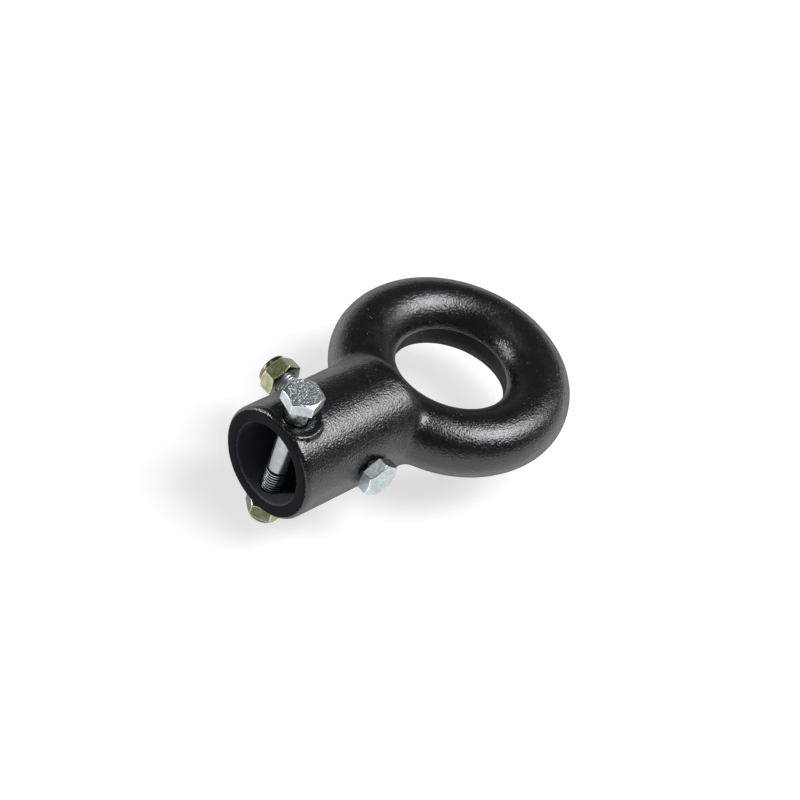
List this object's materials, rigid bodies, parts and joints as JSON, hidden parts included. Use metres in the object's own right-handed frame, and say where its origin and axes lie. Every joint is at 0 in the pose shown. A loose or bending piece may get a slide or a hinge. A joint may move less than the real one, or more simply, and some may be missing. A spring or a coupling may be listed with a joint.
{
  "type": "drawbar eye",
  "caption": "Forged ring eye for a trailer drawbar, with a socket for a round tube, clamped by crossed hexagon bolts with self-locking nuts.",
  "frame": {"origin": "centre of the eye's hole, on the ring's mid plane", "axes": "+Z along the eye's hole (the axis of the coupling pin), +X away from the tube socket, so the socket's mouth faces -X; the front bolt's head is on +Z and the rear bolt's head on -Y"},
  "size_m": [0.226, 0.152, 0.1041],
  "materials": {
    "black_paint": "semi-gloss black paint over a cast skin",
    "zinc_plate": "bright zinc plate",
    "yellow_zinc": "yellow passivated zinc",
    "insert_plastic": "natural nylon"
  },
  "bodies": {
    "eye_body": {"eye_body": "black_paint"},
    "front_bolt": {"front_bolt": "zinc_plate"},
    "front_nut_insert": {"front_nut_insert": "insert_plastic"},
    "front_nut": {"front_nut": "yellow_zinc"},
    "rear_bolt": {"rear_bolt": "zinc_plate"},
    "rear_nut_insert": {"rear_nut_insert": "insert_plastic"},
    "rear_nut": {"rear_nut": "yellow_zinc"}
  },
  "joints": [
    {"name": "front_bolt_seat", "type": "slide", "parent": "eye_body", "child": "front_bolt", "axis": [0, 0, -1], "range_m": [-0.0051, 0.0119]},
    {"name": "front_nut_travel", "type": "slide", "parent": "front_bolt", "child": "front_nut_insert", "axis": [0, 0, 1], "range_m": [-0.006, 0.014]},
    {"name": "front_nut_turn", "type": "hinge", "parent": "front_nut_insert", "child": "front_nut", "pos_m": [-0.1367, 0, -0.0429], "axis": [0, 0, 1], "range_deg": [-1100, 2540]},
    {"name": "rear_bolt_seat", "type": "slide", "parent": "eye_body", "child": "rear_bolt", "axis": [0, 1, 0], "range_m": [-0.0006, 0.0009]},
    {"name": "rear_nut_travel", "type": "slide", "parent": "rear_bolt", "child": "rear_nut_insert", "axis": [0, -1, 0], "range_m": [-0.006, 0.01]},
    {"name": "rear_nut_turn", "type": "hinge", "parent": "rear_nut_insert", "child": "rear_nut", "pos_m": [-0.0965, 0.0513, 0], "axis": [0, -1, 0], "range_deg": [-1100, 1820]}
  ],
  "couplings": [
    {"joint": "front_nut_turn", "follows": "front_nut_travel", "rad_per_m": 3141.6},
    {"joint": "front_bolt_seat", "follows": "front_nut_travel", "ratio": 0.83929},
    {"joint": "rear_nut_turn", "follows": "rear_nut_travel", "rad_per_m": 3141.6},
    {"joint": "rear_bolt_seat", "follows": "rear_nut_travel", "ratio": 0.085}
  ]
}
